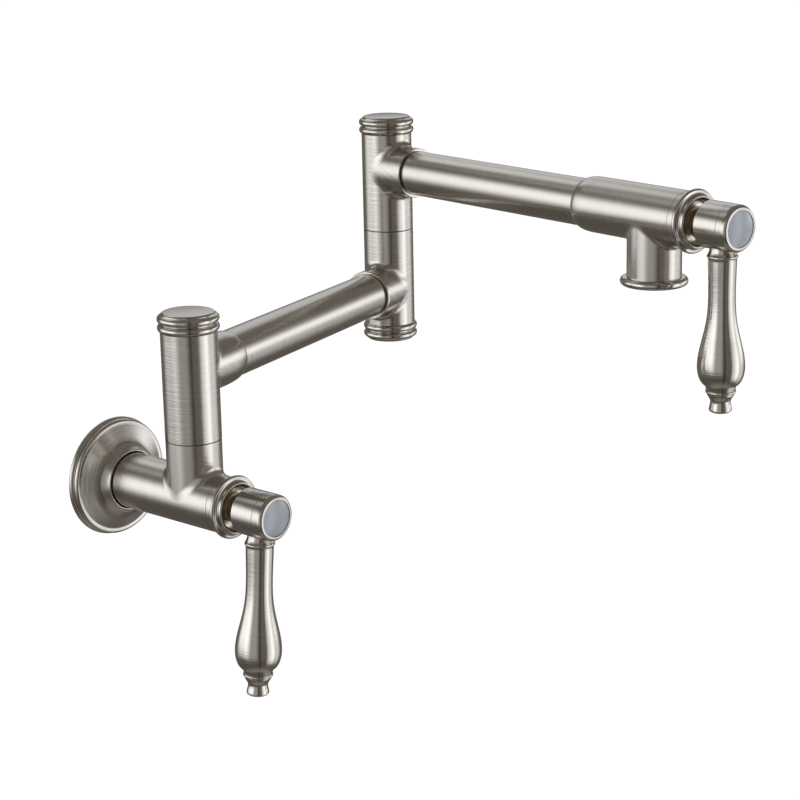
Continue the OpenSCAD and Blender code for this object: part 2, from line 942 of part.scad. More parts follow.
wall_flange();
flange_gasket();
flange_o_ring();
valve_body();
wall_cartridge();
wall_seat_seal();
wall_fixed_disc();
wall_bonnet_ring();
swivel_washer();
swivel_post();
swivel_o_rings();
swivel_thrust_ring();
swivel_nut();
wall_stem();
wall_moving_disc();
wall_hub();
wall_lever();
wall_index_button();
wall_handle_screw();
swivel_barrel();
swivel_cap();
arm_1_tube();
lower_knuckle();
bottom_cap();
elbow_washer();
elbow_post();
elbow_o_rings();
elbow_thrust_ring();
elbow_nut();
upper_knuckle();
top_cap();
arm_2_tube();
outlet_body();
outlet_cartridge();
outlet_seat_seal();
outlet_fixed_disc();
outlet_bonnet_ring();
spout_ring();
aerator_insert();
aerator_screen();
outlet_stem();
outlet_moving_disc();
outlet_hub();
outlet_lever();
outlet_index_button();
outlet_handle_screw();
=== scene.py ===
# %% [markdown]
# A wall mounted pot filler in brushed nickel. Two arms swing on upright swivels, so that the spout can
# reach over a hob and fold back to the wall. This lesson dresses the solid model: it gives the cast
# pieces their soft corners, turns the round ones on a lathe made of nodes, and finishes the metal.

# %% Load the solid model
import json
import math

import bmesh
import bpy
import numpy as np
from mathutils import Matrix, Vector


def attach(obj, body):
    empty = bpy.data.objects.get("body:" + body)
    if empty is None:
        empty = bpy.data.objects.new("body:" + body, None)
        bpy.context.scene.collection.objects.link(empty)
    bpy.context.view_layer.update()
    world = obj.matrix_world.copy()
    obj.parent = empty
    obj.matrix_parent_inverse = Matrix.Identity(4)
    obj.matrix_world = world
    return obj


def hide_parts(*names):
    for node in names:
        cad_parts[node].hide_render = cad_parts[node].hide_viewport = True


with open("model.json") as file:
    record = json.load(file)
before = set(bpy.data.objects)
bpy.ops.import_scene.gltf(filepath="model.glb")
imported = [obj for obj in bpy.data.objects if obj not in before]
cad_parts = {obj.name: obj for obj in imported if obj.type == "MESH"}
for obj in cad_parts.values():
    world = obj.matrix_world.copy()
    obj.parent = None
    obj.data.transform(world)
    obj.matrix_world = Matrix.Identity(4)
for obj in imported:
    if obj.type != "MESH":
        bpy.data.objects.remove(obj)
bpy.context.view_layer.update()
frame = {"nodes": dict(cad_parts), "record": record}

MM = 0.001

# %% [markdown]
# The sizes below repeat those of the solid model, in millimetres, since this file can't read that
# source. Everything else is worked out from them. The first arm leaves the swivel above the valve,
# the second lies one knuckle higher, and the spout hangs from its far end.

# %% Sizes of the layout
WALL_TO_SWIVEL = 62.5
ARM_REACH = 210.7
SEAM_1 = 31.2
KNUCKLE_H = 34.9
CAP_RISE = 20.5
SEAM_TO_CAP = KNUCKLE_H + CAP_RISE
ARM_1_Z = SEAM_1 + KNUCKLE_H
SEAM_2 = ARM_1_Z + KNUCKLE_H
ARM_2_Z = SEAM_2 + KNUCKLE_H
ARM_1_BEARING = math.radians(12.7)
ARM_2_BEARING = math.radians(-99.7)

UP = Vector((0, 0, 1))
OUT_OF_WALL = Vector((0, -1, 0))
ARM_1 = Vector((math.cos(ARM_1_BEARING), math.sin(ARM_1_BEARING), 0))
ARM_2 = Vector((math.cos(ARM_2_BEARING), math.sin(ARM_2_BEARING), 0))
SWIVEL = OUT_OF_WALL * WALL_TO_SWIVEL
ELBOW = SWIVEL + ARM_1 * ARM_REACH
OUTLET = ELBOW + ARM_2 * ARM_REACH
print("elbow at", ELBOW[:], "outlet at", OUTLET[:])

# %% [markdown]
# Every piece here was turned or bored about an axis of its own. A seat keeps that axis as a matrix:
# its origin, a z along the axis and an x towards a chosen side. Shapes are drawn in a seat's own
# plain coordinates and then placed with it, and the brush marks of the finish use it again.


# %% Seats
def seat(origin, axis, side):
    """A matrix in millimetres whose z is the axis and whose x points to the side."""
    z = axis.normalized()
    x = (side - z * side.dot(z)).normalized()
    y = z.cross(x)
    rows = [[x[i], y[i], z[i], origin[i]] for i in range(3)]
    return Matrix(rows + [[0, 0, 0, 1]])


def shifted(seat_mm, along):
    """The same seat, moved along its own z axis."""
    return seat_mm @ Matrix.Translation((0, 0, along))


WALL_SEAT = seat(Vector((0, 0, 0)), OUT_OF_WALL, Vector((1, 0, 0)))
WALL_VALVE = seat(SWIVEL, OUT_OF_WALL, Vector((1, 0, 0)))
OUTLET_VALVE = seat(OUTLET + UP * ARM_2_Z, ARM_2, UP.cross(ARM_2))
SWIVEL_SEAT = seat(SWIVEL + UP * SEAM_1, UP, ARM_1)
LOWER_ELBOW = seat(ELBOW + UP * SEAM_2, -UP, -ARM_1)
UPPER_ELBOW = seat(ELBOW + UP * SEAM_2, UP, ARM_2)
print("the outlet's valve looks along", [round(v, 3) for v in OUTLET_VALVE.col[2][:3]])

# %% [markdown]
# The camera stands a metre off, to the left of the wall's normal and a little above, as in the
# photograph. Its shift puts the middle of the view where the photograph's perspective has it.

# %% Camera
PICTURE = 800
FOCAL_PIXELS = 2067.25
SENSOR = 36.0
YAW, PITCH, ROLL = math.radians(49.059), math.radians(14.648), math.radians(-1.19)
AXIS_PIXEL = (394.604, 367.552)
SIGHT_POINT = Vector((0, -62.47, 66.11))
SIGHT_PIXEL = (190.446, 370.518)
SIGHT_DEPTH = 1029.332
NEAREST, FARTHEST = 0.05, 100

ahead = Vector((math.sin(YAW) * math.cos(PITCH), math.cos(YAW) * math.cos(PITCH), -math.sin(PITCH)))
level = Vector((math.cos(YAW), -math.sin(YAW), 0))
above = level.cross(ahead)
right = level * math.cos(ROLL) + above * math.sin(ROLL)
upward = above * math.cos(ROLL) - level * math.sin(ROLL)
across = (SIGHT_PIXEL[0] - AXIS_PIXEL[0]) / FOCAL_PIXELS * SIGHT_DEPTH
down = (SIGHT_PIXEL[1] - AXIS_PIXEL[1]) / FOCAL_PIXELS * SIGHT_DEPTH
eye = SIGHT_POINT - right * across + upward * down - ahead * SIGHT_DEPTH

camera = bpy.data.objects.new("camera", bpy.data.cameras.new("camera"))
bpy.context.scene.collection.objects.link(camera)
camera.data.sensor_width = SENSOR
camera.data.lens = FOCAL_PIXELS / PICTURE * SENSOR
camera.data.shift_x = (PICTURE / 2 - AXIS_PIXEL[0]) / PICTURE
camera.data.shift_y = (AXIS_PIXEL[1] - PICTURE / 2) / PICTURE
camera.data.clip_start, camera.data.clip_end = NEAREST, FARTHEST
turn = Matrix((right, upward, -ahead)).transposed().to_4x4()
camera.matrix_world = Matrix.Translation(eye * MM) @ turn
bpy.context.scene.camera = camera
print("camera at", [round(v * MM, 3) for v in eye], "lens", round(camera.data.lens, 2))

# %% [markdown]
# Shader sums read best as sums. A Wire holds one socket, and its operators add Math nodes, so that
# 1 - mask or mask * 0.3 can be written as they are said. Any other node comes from Wire.node.


# %% Wires for shader maths
class Wire:
    def __init__(self, tree, socket=None):
        self.tree = tree
        self.socket = socket

    def node(self, kind, settings=None, values=None, out=0):
        """A new node with its settings, its values and links, and one of its outputs."""
        made = self.tree.nodes.new(kind)
        for key, value in (settings or {}).items():
            setattr(made, key, value)
        for key, value in (values or {}).items():
            if isinstance(value, Wire):
                self.tree.links.new(value.socket, made.inputs[key])
            else:
                made.inputs[key].default_value = value
        return Wire(self.tree, made.outputs[out] if len(made.outputs) else None)

    def math(self, operation, *others):
        values = dict(enumerate((self,) + others))
        return self.node("ShaderNodeMath", {"operation": operation}, values)

    def __add__(self, other):
        return self.math("ADD", other)

    __radd__ = __add__

    def __mul__(self, other):
        return self.math("MULTIPLY", other)

    __rmul__ = __mul__

    def __sub__(self, other):
        return self.math("SUBTRACT", other)

    def __rsub__(self, other):
        return self.node("ShaderNodeMath", {"operation": "SUBTRACT"}, {0: other, 1: self})

    def smooth(self, low, high, to_low=0.0, to_high=1.0):
        """A soft step from to_low to to_high as this value goes from low to high."""
        values = {0: self, 1: low, 2: high, 3: to_low, 4: to_high}
        return self.node("ShaderNodeMapRange", {"interpolation_type": "SMOOTHSTEP"}, values)


def fresh_tree(owner):
    """The node tree of a world or a material, emptied, as a Wire."""
    owner.use_nodes = True
    owner.node_tree.nodes.clear()
    return Wire(owner.node_tree)


print("a wire can:", [name for name in vars(Wire) if not name.startswith("_")])

# %% [markdown]
# A metal is mostly what it mirrors. The photograph was lit with two soft boxes on the left of the
# camera and more on the right, some overhead, and a darker room between them. The world carries that
# room for glossy rays, as soft patches, and stays plain white for the camera. Its dark parts are
# warmer than its lamps, as the metal's shadows are in the photograph.

# %% World
TO_CAMERA = math.atan2(-ahead.y, -ahead.x)
SOFT_BOXES = (
    # degrees right of the camera, half width, soft edge, strength, then how high the lower edge
    # and the upper edge stand, as the z of a direction where each begins and where it ends
    (-80, 14, 32, 1.4, (-0.48, 0.03), (0.2, 0.55)),
    (-35, 22, 18, 0.28, (-0.62, -0.2), (0.35, 0.72)),
    (67, 6, 20, 0.9, (-0.80, -0.45), (0.05, 0.55)),
    (96, 12, 26, 0.75, (-0.80, -0.45), (0.05, 0.45)),
    (120, 10, 16, 0.8, (-0.22, -0.02), (0.08, 0.22)),
)
SPOTS = (
    # degrees right of the camera, elevation, half width, soft edge, strength
    (-155, 40, 5, 11, 0.75),
    (176, 24, 8, 14, 0.55),
    (-112, 50, 5, 10, 0.4),
)
SLIT_BEARING, SLIT_HALF, SLIT_EDGE, SLIT_DEPTH = 10, 1.5, 5, 0.65
ROOM, TABLE, NEAR_TABLE = 0.17, 0.12, 0.15
TABLE_EDGE, UNDERFOOT = (-0.65, -0.3), (-1.0, -0.75)
WARM, COOL = (1.0, 0.93, 0.84), (1.0, 1.03, 1.07)
DIM, LIT = 0.1, 0.6
LEVEL_LIGHT = 0.85
STRAIGHT_UP = 0.0001

world = bpy.data.worlds.new("studio")
bpy.context.scene.world = world
sky = fresh_tree(world)
direction = sky.node("ShaderNodeTexCoord", out="Generated")
x, y, z = (sky.node("ShaderNodeSeparateXYZ", None, {0: direction}, out) for out in "XYZ")
flat = (x * x + y * y + STRAIGHT_UP).math("SQRT")


def cosines(half, edge):
    """The cosines between which a patch fades in."""
    return math.cos(math.radians(half + edge)), math.cos(math.radians(half))


def facing_bearing(bearing):
    """How squarely a direction faces a bearing, whatever its height."""
    angle = TO_CAMERA + math.radians(bearing)
    return (x * math.cos(angle) + y * math.sin(angle)).math("DIVIDE", flat)


room = z.smooth(*TABLE_EDGE, TABLE, ROOM) + z.smooth(*UNDERFOOT, NEAR_TABLE, 0.0)
for bearing, half, edge, strength, bottom, top in SOFT_BOXES:
    facing = facing_bearing(bearing)
    tall = z.smooth(*bottom) * z.smooth(*top, 1.0, 0.0)
    room = room + facing.smooth(*cosines(half, edge)) * tall * strength
for bearing, elevation, half, edge, strength in SPOTS:
    angle, tilt = TO_CAMERA + math.radians(bearing), math.radians(elevation)
    facing = x * (math.cos(angle) * math.cos(tilt)) + y * (math.sin(angle) * math.cos(tilt)) \
        + z * math.sin(tilt)
    room = room + facing.smooth(*cosines(half, edge)) * strength
slit = facing_bearing(SLIT_BEARING).smooth(*cosines(SLIT_HALF, SLIT_EDGE), 1.0, 1 - SLIT_DEPTH)
room = room * slit

# %% [markdown]
# Light Path tells what kind of ray asks. The camera and rays through glass get plain white, glossy
# rays get the room, and the rest get an even light, so that colours render about as written.

# %% Who sees what
ray = sky.node("ShaderNodeLightPath", out="Is Camera Ray")
through = sky.node("ShaderNodeLightPath", out="Is Transmission Ray")
glossy = sky.node("ShaderNodeLightPath", out="Is Glossy Ray")
white = ray + through
strength = white + (1 - white) * (glossy * room + (1 - glossy) * LEVEL_LIGHT)
bright = room.smooth(DIM, LIT)
tint = sky.node("ShaderNodeCombineColor", None, {
    i: 1.0 + (1 - white) * (WARM[i] - 1 + bright * (COOL[i] - WARM[i])) for i in range(3)})
backdrop = sky.node("ShaderNodeBackground", None, {"Color": tint, "Strength": strength})
sky.node("ShaderNodeOutputWorld", None, {"Surface": backdrop})
bpy.context.scene.view_settings.view_transform = "Standard"
print("world has", len(world.node_tree.nodes), "nodes")

# %% [markdown]
# The floor is far below, because the object hangs on a wall. The camera sees it almost white, and it
# keeps the object's faint shadow. The metal mirrors the world in its place, dark table and all.

# %% Floor
FLOOR_Z = -0.75
FLOOR_SIZE = 40.0
FLOOR_GLOW = 0.9
FLOOR_SHARE = 0.16
FLOOR_GREY = 0.8

floor_mesh = bpy.data.meshes.new("floor")
half = FLOOR_SIZE / 2
corners = [(-half, -half, FLOOR_Z), (half, -half, FLOOR_Z), (half, half, FLOOR_Z), (-half, half, FLOOR_Z)]
floor_mesh.from_pydata(corners, [], [(0, 1, 2, 3)])
floor = bpy.data.objects.new("floor", floor_mesh)
bpy.context.scene.collection.objects.link(floor)
paint = bpy.data.materials.new("floor_paint")
wire = fresh_tree(paint)
matt = wire.node("ShaderNodeBsdfDiffuse", None, {"Color": (FLOOR_SHARE,) * 3 + (1,)})
glow = wire.node("ShaderNodeEmission", None, {"Color": (1, 1, 1, 1), "Strength": FLOOR_GLOW})
pale = wire.node("ShaderNodeAddShader", None, {0: matt, 1: glow})
plain = wire.node("ShaderNodeBsdfDiffuse", None, {"Color": (FLOOR_GREY,) * 3 + (1,)})
seen = wire.node("ShaderNodeLightPath", out="Is Camera Ray")
surface = wire.node("ShaderNodeMixShader", None, {0: seen, 1: plain, 2: pale})
wire.node("ShaderNodeOutputMaterial", None, {"Surface": surface})
floor_mesh.materials.append(paint)
floor.visible_glossy = False
print("floor lies", -FLOOR_Z, "m below the inlet")

# %% [markdown]
# Two lamps give the rubber, the enamel and the floor their soft light. A lamp would also show in the
# metal as a bright square, so glossy rays pass them by.

# %% Lamps
MIDDLE = (0.1, -0.12, 0.05)


def lamp(name, place, power, size):
    """A soft square lamp that looks at the middle of the object."""
    data = bpy.data.lights.new(name, "AREA")
    data.energy, data.size = power, size
    made = bpy.data.objects.new(name, data)
    bpy.context.scene.collection.objects.link(made)
    made.location = place
    made.rotation_euler = (Vector(MIDDLE) - Vector(place)).to_track_quat("-Z", "Y").to_euler()
    made.visible_glossy = False


lamp("key", (-1.3, -0.9, 1.1), 14, 0.8)
lamp("fill", (1.2, -1.3, 0.7), 9, 0.9)

# %% [markdown]
# Brushed nickel is a soft warm grey. The brush runs round each piece, so its marks are fine rings
# about the axis that the piece was turned on. Mapping in TEXTURE mode gives coordinates from that
# axis. A noise that changes fast along the axis and outwards from it, and slowly round it, makes the
# rings. They vary the colour, the roughness and the bump, which smears reflections across them as a
# brush does. Slow blotches from handling lie over the top.

# %% Nickel
NICKEL = (0.605, 0.562, 0.508)
RING_PITCH, RING_ROUND, RING_SLANT = 0.0009, 0.03, 0.7
MARK_DETAIL, MARK_ROUGHNESS = 3.0, 0.65
HAND_SCALE, GRAIN_SCALE = 38.0, 1900.0
MARK_SHADE, GRAIN_SHADE, HAND_SHADE = 0.22, 0.04, 0.06
MARK_ROUGH, HAND_ROUGH = 0.16, 0.08
BRUSH_STRENGTH, BRUSH_DEPTH = 0.32, 0.0003


def shaded(wire, colour, shade):
    """A colour times a grey that varies over the surface."""
    tint = wire.node("ShaderNodeCombineColor", None, {0: shade, 1: shade, 2: shade})
    return wire.node("ShaderNodeMix", {"data_type": "RGBA", "blend_type": "MULTIPLY"}, {
        0: 1.0, 6: colour + (1.0,), 7: tint}, 2)


def noise(wire, where, scale, detail):
    return wire.node("ShaderNodeTexNoise", None, {"Vector": where, "Scale": scale, "Detail": detail}, "Fac")


def brushed_nickel(name, seat_mm, rough, rings=1.0):
    """Nickel whose brush marks run round the seat's z axis."""
    material = bpy.data.materials.new(name)
    w = fresh_tree(material)
    place = w.node("ShaderNodeTexCoord", out="Object")
    local = w.node("ShaderNodeMapping", {"vector_type": "TEXTURE"}, {
        "Vector": place, "Location": Vector(seat_mm.translation) * MM, "Rotation": seat_mm.to_euler()})
    x, y, z = (w.node("ShaderNodeSeparateXYZ", None, {0: local}, out) for out in "XYZ")
    outwards = (x * x + y * y).math("SQRT")
    rounds = w.node("ShaderNodeCombineXYZ", None, {
        0: x * (1 / RING_ROUND), 1: y * (1 / RING_ROUND),
        2: (z + outwards * RING_SLANT) * (1 / RING_PITCH)})
    marks = w.node("ShaderNodeTexNoise", None, {
        "Vector": rounds, "Scale": 1.0, "Detail": MARK_DETAIL, "Roughness": MARK_ROUGHNESS}, "Fac")
    hand = noise(w, place, HAND_SCALE, 2.0)
    grain = noise(w, place, GRAIN_SCALE, 1.0)
    shade = 1.0 + (marks - 0.5) * (MARK_SHADE * rings) + (grain - 0.5) * (GRAIN_SHADE * rings) \
        + (hand - 0.5) * HAND_SHADE
    roughness = rough + (marks - 0.5) * (MARK_ROUGH * rings) + (hand - 0.5) * HAND_ROUGH
    bump = w.node("ShaderNodeBump", None, {
        "Strength": BRUSH_STRENGTH * rings, "Distance": BRUSH_DEPTH, "Height": marks})
    shader = w.node("ShaderNodeBsdfPrincipled", None, {
        "Base Color": shaded(w, NICKEL, shade), "Metallic": 1.0, "Roughness": roughness, "Normal": bump})
    w.node("ShaderNodeOutputMaterial", None, {"Surface": shader})
    return material


print("brush rings are", round(RING_PITCH / MM, 2), "mm apart")

# %% [markdown]
# The inner pieces are brass, rubber, ceramic and plastic, and the buttons are enamelled. Their
# finishes need no axis, so one function makes them, from a colour and a slow and a fine noise. The
# enamel alone has a clear coat over it.

# %% Inner finishes
SLOW_SCALE, FINE_SCALE = 160.0, 2240.0
SLOW_ROUGH = 0.12
FINE_STRENGTH, FINE_DEPTH = 0.08, 0.0002
COAT_ROUGH = 0.05


def plain_finish(name, colour, rough, metallic=0.0, mottle=0.12, coat=0.0):
    material = bpy.data.materials.new(name)
    w = fresh_tree(material)
    place = w.node("ShaderNodeTexCoord", out="Object")
    slow = noise(w, place, SLOW_SCALE, 3.0)
    fine = noise(w, place, FINE_SCALE, 1.0)
    shade = 1.0 + (slow - 0.5) * mottle + (fine - 0.5) * (mottle / 2)
    bump = w.node("ShaderNodeBump", None, {
        "Strength": FINE_STRENGTH, "Distance": FINE_DEPTH, "Height": fine})
    shader = w.node("ShaderNodeBsdfPrincipled", None, {
        "Base Color": shaded(w, colour, shade), "Metallic": metallic,
        "Roughness": rough + (slow - 0.5) * SLOW_ROUGH, "Normal": bump,
        "Coat Weight": coat, "Coat Roughness": COAT_ROUGH})
    w.node("ShaderNodeOutputMaterial", None, {"Surface": shader})
    return material


BY_SLOT = {
    "brass": plain_finish("turned_brass", (0.66, 0.52, 0.34), 0.42, 1.0),
    "rubber": plain_finish("black_rubber", (0.02, 0.02, 0.02), 0.7),
    "ceramic": plain_finish("white_ceramic", (0.82, 0.80, 0.76), 0.2),
    "bearing_plastic": plain_finish("bearing_plastic", (0.035, 0.035, 0.035), 0.45),
    "stainless": plain_finish("stainless_steel", (0.55, 0.55, 0.55), 0.3, 1.0),
    "index_enamel": plain_finish("blue_grey_enamel", (0.185, 0.21, 0.24), 0.2, coat=1.0, mottle=0.05),
    "white_plastic": plain_finish("white_plastic", (0.75, 0.75, 0.72), 0.4),
}
print("inner finishes:", sorted(BY_SLOT))

# %% [markdown]
# Every solid of the model gets its finish by the material slot that the record gives it. The nickel
# ones need an axis each. The levers hang from their hubs, so their axis points down.

# %% Dress the solids
HUB_START, HUB_LEN, HUB_R = 33.0, 23.4, 11.8
LEVER_AT = HUB_START + 12
SOLID_ROUGH = 0.24
AXES = {
    "wall_flange": WALL_SEAT, "valve_body": WALL_VALVE, "wall_bonnet_ring": WALL_VALVE,
    "wall_hub": WALL_VALVE, "swivel_barrel": SWIVEL_SEAT, "swivel_cap": SWIVEL_SEAT,
    "lower_knuckle": LOWER_ELBOW, "bottom_cap": LOWER_ELBOW, "upper_knuckle": UPPER_ELBOW,
    "top_cap": UPPER_ELBOW, "outlet_body": OUTLET_VALVE, "outlet_bonnet_ring": OUTLET_VALVE,
    "outlet_hub": OUTLET_VALVE,
    "arm_1_tube": seat(SWIVEL + UP * ARM_1_Z, ARM_1, UP),
    "arm_2_tube": seat(OUTLET + UP * ARM_2_Z, ARM_2, UP),
    "spout_ring": seat(OUTLET, UP, ARM_2),
    "wall_lever": seat(SWIVEL + OUT_OF_WALL * LEVER_AT, -UP, ARM_1),
    "outlet_lever": seat(OUTLET + ARM_2 * LEVER_AT + UP * ARM_2_Z, -UP, ARM_1),
}


def dress(node, material):
    """Gives a solid of the frame one finish all over."""
    mesh = frame["nodes"][node].data
    mesh.materials.clear()
    mesh.materials.append(material)


SLOT_OF = {row["node"]: row["material_slot"] for row in frame["record"]["subparts"]}
for node_name, slot_name in SLOT_OF.items():
    if slot_name in BY_SLOT:
        dress(node_name, BY_SLOT[slot_name])
    else:
        dress(node_name, brushed_nickel("nickel_" + node_name, AXES[node_name], SOLID_ROUGH))
print("dressed", len(SLOT_OF), "solids")

# %% [markdown]
# Most pieces were turned, so a lathe made of Geometry Nodes makes them. It is given a profile, drawn
# as a line in a plane, and sweeps it round a circle. The circle's radius is taken off the profile
# first, so that the two add up to the true radius. Points that meet on the axis are welded.

# %% The lathe
PATH_RADIUS = 50.0
LATHE_STEPS, CUTTER_STEPS = 144, 96
WELD = 0.000002
GIVEN = (("Profile", "Geometry"), ("Steps", "Int"), ("Path radius", "Float"),
         ("Weld distance", "Float"), ("Finish", "Material"))


def lathe_tree():
    tree = bpy.data.node_groups.new("lathe", "GeometryNodeTree")
    for name, kind in GIVEN:
        tree.interface.new_socket(name, in_out="INPUT", socket_type="NodeSocket" + kind)
    tree.interface.new_socket("Turned piece", in_out="OUTPUT", socket_type="NodeSocketGeometry")
    w = Wire(tree)
    given = {name: w.node("NodeGroupInput", out=name) for name, _ in GIVEN}
    line = w.node("GeometryNodeMeshToCurve", None, {"Mesh": given["Profile"]})
    path = w.node("GeometryNodeCurvePrimitiveCircle", None, {
        "Resolution": given["Steps"], "Radius": given["Path radius"]})
    upright = w.node("GeometryNodeSetCurveNormal", {"mode": "Z_UP"}, {"Curve": path})
    swept = w.node("GeometryNodeCurveToMesh", None, {"Curve": upright, "Profile Curve": line})
    welded = w.node("GeometryNodeMergeByDistance", None, {
        "Geometry": swept, "Distance": given["Weld distance"]})
    real = w.node("GeometryNodeRealizeInstances", None, {"Geometry": welded})
    done = w.node("GeometryNodeSetMaterial", None, {"Geometry": real, "Material": given["Finish"]})
    w.node("NodeGroupOutput", None, {"Turned piece": done})
    return tree


LATHE = lathe_tree()
print("lathe tree has", len(LATHE.nodes), "nodes")

# %% [markdown]
# To turn a piece, its profile becomes a mesh of edges with the lathe as its modifier. The result is
# taken out as a plain mesh, because the lathe must not stay live on a finished piece, and the seat
# puts it in its place. Its normals are then all turned outwards, since a sweep may face either way.

# %% Turning
SHARP = math.radians(32)


def new_object(name, mesh):
    made = bpy.data.objects.new(name, mesh)
    bpy.context.scene.collection.objects.link(made)
    return made


def evaluated_mesh(obj):
    """The object's mesh with its modifiers worked out, as a mesh of its own."""
    bpy.context.view_layer.update()
    found = obj.evaluated_get(bpy.context.evaluated_depsgraph_get())
    return bpy.data.meshes.new_from_object(found)


def point_outwards(mesh):
    bm = bmesh.new()
    bm.from_mesh(mesh)
    bmesh.ops.recalc_face_normals(bm, faces=bm.faces)
    bm.to_mesh(mesh)
    bm.free()


def turned(name, profile, seat_mm, finish, closed=False, steps=LATHE_STEPS):
    """A piece turned about the seat's z axis from (radius, height) pairs in millimetres."""
    line = bpy.data.meshes.new(name + "_profile")
    count = len(profile)
    edges = [(i, i + 1) for i in range(count - 1)] + ([(count - 1, 0)] if closed else [])
    # The sweep lays the line's y axis downwards, so heights go in with their sign turned
    line.from_pydata([((r - PATH_RADIUS) * MM, -h * MM, 0) for r, h in profile], edges, [])
    blank = new_object(name + "_blank", line)
    lathe = blank.modifiers.new("lathe", "NODES")
    lathe.node_group = LATHE
    wanted = {"Steps": steps, "Path radius": PATH_RADIUS * MM, "Weld distance": WELD, "Finish": finish}
    for item in LATHE.interface.items_tree:
        if item.in_out == "INPUT" and item.name in wanted:
            lathe[item.identifier] = wanted[item.name]
    mesh = evaluated_mesh(blank)
    mesh.name = name
    bpy.data.objects.remove(blank)
    place = seat_mm.copy()
    place.translation = seat_mm.translation * MM
    mesh.transform(place)
    point_outwards(mesh)
    return new_object(name, mesh)


def crisp(mesh):
    """Smooth shading, with an edge kept wherever two faces meet sharply."""
    mesh.shade_smooth()
    mesh.set_sharp_from_angle(angle=SHARP)


print("a turned piece has", LATHE_STEPS, "steps round it")

# %% [markdown]
# A profile is a list of (radius, height) pairs. Beads and rounded edges are arcs. Where a lever swells
# or narrows it follows half a cosine wave, which leaves each end straight, as a turner's eye does.


# %% Curves for profiles
def arc(cx, cy, rx, ry, start, stop, steps=14):
    """Points of an arc round a centre, in degrees."""
    angles = [math.radians(start + (stop - start) * i / steps) for i in range(steps + 1)]
    return [(cx + rx * math.cos(t), cy + ry * math.sin(t)) for t in angles]


def swell(begin, end, steps=22, power=1.0):
    """A smooth S from one (radius, height) to another, level in radius at both ends."""
    shares = [i / steps for i in range(steps + 1)]
    return [(begin[0] + (end[0] - begin[0]) * (1 - math.cos(math.pi * t ** power)) / 2,
             begin[1] + (end[1] - begin[1]) * t) for t in shares]


def straight(r, low, high):
    return [(r, low), (r, high)]


print("a swell from 5 to 7 is", round(swell((5, 0), (7, 1))[11][0], 3), "wide at its middle")

# %% [markdown]
# The cast pieces are tubes that run into each other with a soft corner. Bevelling the line where two
# cylinders cross is fragile, so each casting is drawn as a field: the distance to its tubes, joined
# by a rounded union. Its radius is the corner's where the tubes cross squarely, and falls to nothing
# where they graze each other, so that no swelling runs along them. A grid finds where the field is
# zero, and every point is then moved onto the surface. The normals come from the field too.

# %% A field of tubes
GRAZE = 0.6
SLOPE_STEP = 0.02
NEAR_AXIS = 0.001


def tube_distance(points, seat_mm, profile, low, high):
    """Distance to a turned tube that runs from low to high along the seat's z axis, and the way out."""
    turn = np.array(seat_mm.to_3x3())
    local = (points - np.array(seat_mm.translation)) @ turn
    heights, radii = np.array(profile, float)[:, 1], np.array(profile, float)[:, 0]
    away = np.maximum(np.hypot(local[:, 0], local[:, 1]), NEAR_AXIS)
    side = away - np.interp(local[:, 2], heights, radii)
    way = (local * (1, 1, 0) / away[:, None]) @ turn.T
    return np.maximum(side, np.abs(local[:, 2] - (low + high) / 2) - (high - low) / 2), way


def melted(tubes, corner):
    """The field of several tubes with a rounded inner corner."""
    def field(points):
        total, way = tube_distance(points, *tubes[0])
        for tube in tubes[1:]:
            d, out = tube_distance(points, *tube)
            bend = corner * np.clip(1 - (way * out).sum(1), 0, 1) ** GRAZE
            sunk = np.hypot(np.maximum(bend - total, 0), np.maximum(bend - d, 0))
            total = np.maximum(bend, np.minimum(total, d)) - sunk
        return total
    return field


def slope(field, points):
    """The field's gradient at each point."""
    moves = np.eye(3) * SLOPE_STEP
    return np.stack([field(points + m) - field(points - m) for m in moves], -1) / (2 * SLOPE_STEP)


TRIAL = melted([(WALL_SEAT, straight(10, -20, 20), -20, 20)], 1)
print("2 mm off a tube's wall the field reads", TRIAL(np.array([[12.0, 0.0, 0.0]]))[0])

# %% [markdown]
# The skin takes one point in each grid cell that the surface crosses, and one quad for each grid
# line that it cuts. Four steps down the slope then put every point on the surface itself, so the
# grid may be coarser than the shape is fine.

# %% A skin over the field
STEPS_TO_SURFACE = 4


